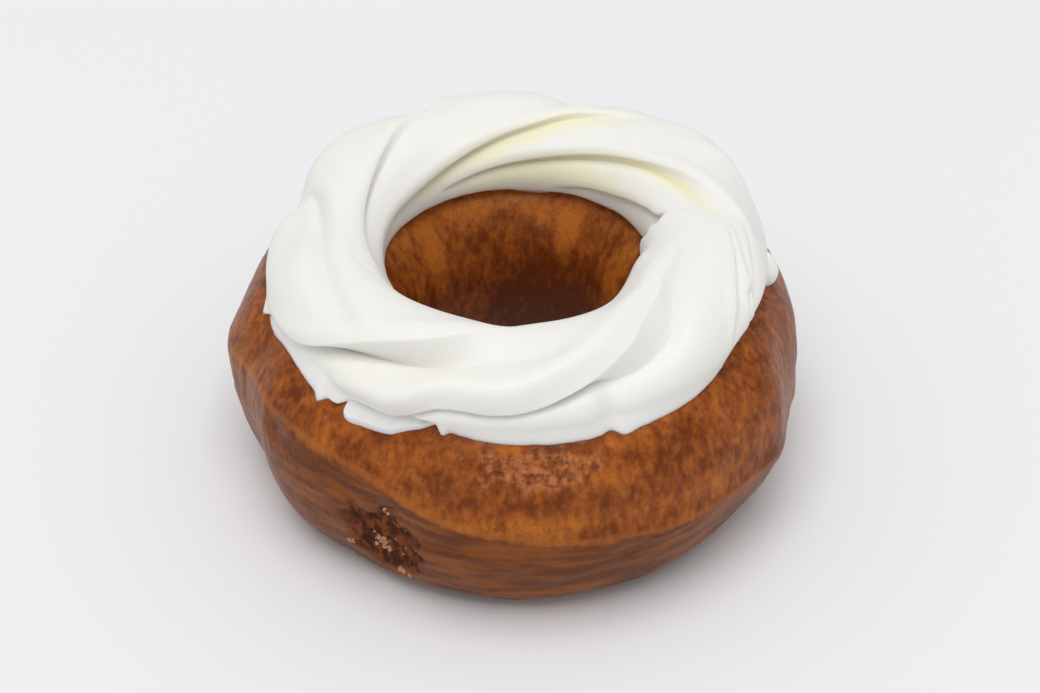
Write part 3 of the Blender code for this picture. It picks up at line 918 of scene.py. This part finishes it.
# Painted warm shade for the deep folds.
PAINTED_WARM_SHADE = linear("#F1ECC4")
CREAM_ROUGHNESS = 0.5
CREAM_IOR = 1.4
LIGHT_INSIDE = 0.6
LIGHT_REACH_MM = 1.1
LIGHT_REACH_BY_COLOUR = (1.0, 0.95, 0.7)
whipped, whipped_shader = new_material("whipped cream")
# The deep folds get a painted warm shade over the white.
warm_shade_here = add_node(whipped, "Attribute", attribute_name="painted_warm_shade").outputs["Fac"]
cream_colour = mixed(whipped, warm_shade_here, CREAM_WHITE, PAINTED_WARM_SHADE)
whipped.node_tree.links.new(cream_colour, whipped_shader.inputs["Base Color"])
whipped_shader.inputs["Roughness"].default_value = CREAM_ROUGHNESS
whipped_shader.inputs["IOR"].default_value = CREAM_IOR
whipped_shader.inputs["Subsurface Weight"].default_value = LIGHT_INSIDE
whipped_shader.inputs["Subsurface Radius"].default_value = LIGHT_REACH_BY_COLOUR
whipped_shader.inputs["Subsurface Scale"].default_value = LIGHT_REACH_MM * MM
cream.data.materials.append(whipped)
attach(cream, "root")
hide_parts("cream_ring")


# ---------------------------------------------------------------- the ledge under the lip
# The squeezed-out end of the first layer of cream, a thin pad under the front lobe's lip. It is
# square where the nozzle started, at its left end.

# Its outer edge: (azimuth, distance from the hole's centre in mm). It thins out to the right.
LEDGE_OUTSIDE = (
    (-129.6, 41.1), (-128.8, 41.2), (-125, 41.0), (-121.5, 40.9), (-117.5, 40.6), (-114, 39.8),
    (-110.5, 39.1), (-108.4, 38.5),
)
LEDGE_INSIDE = 37.0
LEDGE_THICKNESS = 1.1
LEDGE_THIN_END = 0.55
LEDGE_TAPER_START = -108.6
LEDGE_TAPER = 9.0
LEDGE_ROUGHNESS = 0.12
LEDGE_CUTS = 44
LEDGE_SQUARENESS = 60

bpy.ops.object.select_all(action="DESELECT")
bpy.ops.mesh.primitive_cube_add(size=2.0)
ledge = bpy.context.object
ledge.name = ledge.data.name = "cream_ledge"
bpy.ops.object.mode_set(mode="EDIT")
bpy.ops.mesh.select_all(action="SELECT")
bpy.ops.mesh.subdivide(number_cuts=LEDGE_CUTS)
bpy.ops.object.mode_set(mode="OBJECT")
bpy.ops.object.shade_smooth()
corners = np.empty(len(ledge.data.vertices) * 3, np.float32)
ledge.data.vertices.foreach_get("co", corners)
corners = corners.reshape(-1, 3).astype(float)
squareness = (np.abs(corners) ** LEDGE_SQUARENESS).sum(axis=1, keepdims=True)
corners /= squareness ** (1 / LEDGE_SQUARENESS)
first, last = LEDGE_OUTSIDE[0][0], LEDGE_OUTSIDE[-1][0]
ledge_azimuth = first + (last - first) * (corners[:, 0] + 1) / 2
ledge_outside = smooth_line(ledge_azimuth, LEDGE_OUTSIDE)
ledge_radius = LEDGE_INSIDE + (ledge_outside - LEDGE_INSIDE) * (corners[:, 1] + 1) / 2
ledge_base = np.empty_like(ledge_radius)
for k, (place, radius) in enumerate(zip(ledge_azimuth, ledge_radius)):
    i = round(place / 360.0 * CREAM_AROUND) % CREAM_AROUND
    top_radius = RING_RADIUS + seat[i][2][: CRUST_SECTION // 4]
    top = crust_columns[i, : CRUST_SECTION // 4]
    ledge_base[k] = np.interp(radius, top_radius[::-1], top[::-1, 2])
over_base = (corners[:, 2] + 1) / 2
thinned = ease((LEDGE_TAPER_START - ledge_azimuth) / LEDGE_TAPER)
taper = LEDGE_THIN_END + (1 - LEDGE_THIN_END) * thinned
ledge_height = ledge_base + SEAT_GAP + LEDGE_THICKNESS * taper * over_base
ledge_points = on_ring(ledge_azimuth, ledge_radius, ledge_height)
ledge_points[:, 2] += LEDGE_ROUGHNESS * rough(ledge_points, 2.0, 2, 31.0) * over_base
move_vertices(ledge.data, ledge_points)
ledge.data.materials.append(whipped)
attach(ledge, "root")


# ---------------------------------------------------------------- the tail of the piping
# A small round knob of whipped cream at the right edge, left when the nozzle was pulled away. It
# sticks to the ring of cream and hangs a little over the crust.

TAIL_CENTRE = (38.7, -0.3, 36.2)
TAIL_HALF = (3.4, 3.0, 3.6)
TAIL_ROUGHNESS = 0.25
TAIL_LEANS_IN = 0.25

bpy.ops.object.select_all(action="DESELECT")
bpy.ops.mesh.primitive_uv_sphere_add(segments=64, ring_count=32, radius=1.0)
tail = bpy.context.object
tail.name = tail.data.name = "piping_tail"
bpy.ops.object.shade_smooth()
ball = np.empty(len(tail.data.vertices) * 3, np.float32)
tail.data.vertices.foreach_get("co", ball)
ball = ball.reshape(-1, 3).astype(float)
tail_points = ball * TAIL_HALF + TAIL_CENTRE
tail_points += ball * TAIL_ROUGHNESS * rough(tail_points, 3.0, 2, 41.0)[:, None]
tail_points[:, 0] -= TAIL_LEANS_IN * np.maximum(ball[:, 2], 0.0)
move_vertices(tail.data, tail_points)
tail.data.materials.append(whipped)
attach(tail, "root")


# ---------------------------------------------------------------- the floor, light and camera
# A plain pale sweep of matt paper, lit evenly from all round by soft daylight and by one large
# soft lamp high over the front. The camera looks down at the front.

PAPER_WHITE = linear("#F1F1F3")
PAPER_ROUGHNESS = 0.9
DAYLIGHT_STRENGTH = 0.54
LAMP_PLACE = Vector((-0.1, -0.5, 1.95))
LAMP_AIM = Vector((0.0, 0.0, 0.03))
LAMP_SIZE = 1.4
LAMP_POWER = 22.0
CAMERA_ELEVATION = math.radians(40.0)
CAMERA_DISTANCE = 0.3755
CAMERA_TARGET = Vector((0.00085, -0.0002, 0.0201))
CAMERA_LENS = 79.03
SENSOR_WIDTH = 36.0
NEAREST_SEEN = 0.01

bpy.ops.object.select_all(action="DESELECT")
bpy.ops.mesh.primitive_plane_add(size=3.0, location=(0, 0, 0))
floor = bpy.context.object
floor.name = "paper_floor"
paper, paper_shader = new_material("matt white paper")
paper_shader.inputs["Base Color"].default_value = PAPER_WHITE
paper_shader.inputs["Roughness"].default_value = PAPER_ROUGHNESS
floor.data.materials.append(paper)

world = bpy.data.worlds.new("soft daylight")
bpy.context.scene.world = world
world.use_nodes = True
sky = world.node_tree.nodes["Background"]
sky.inputs["Color"].default_value = (1.0, 1.0, 1.0, 1.0)
sky.inputs["Strength"].default_value = DAYLIGHT_STRENGTH

lamp = bpy.data.objects.new("top_lamp", bpy.data.lights.new("top_lamp", "AREA"))
bpy.context.scene.collection.objects.link(lamp)
lamp.data.size = LAMP_SIZE
lamp.data.energy = LAMP_POWER
lamp.location = LAMP_PLACE
lamp.rotation_euler = (LAMP_AIM - LAMP_PLACE).to_track_quat("-Z", "Y").to_euler()

back = Vector((0.0, -math.cos(CAMERA_ELEVATION), math.sin(CAMERA_ELEVATION)))
camera = bpy.data.objects.new("camera", bpy.data.cameras.new("camera"))
bpy.context.scene.collection.objects.link(camera)
camera.data.sensor_width = SENSOR_WIDTH
camera.data.lens = CAMERA_LENS
camera.data.clip_start = NEAREST_SEEN
camera.location = CAMERA_TARGET + back * CAMERA_DISTANCE
camera.rotation_euler = (-back).to_track_quat("-Z", "Y").to_euler()
bpy.context.scene.camera = camera
bpy.context.scene.view_settings.view_transform = "Standard"
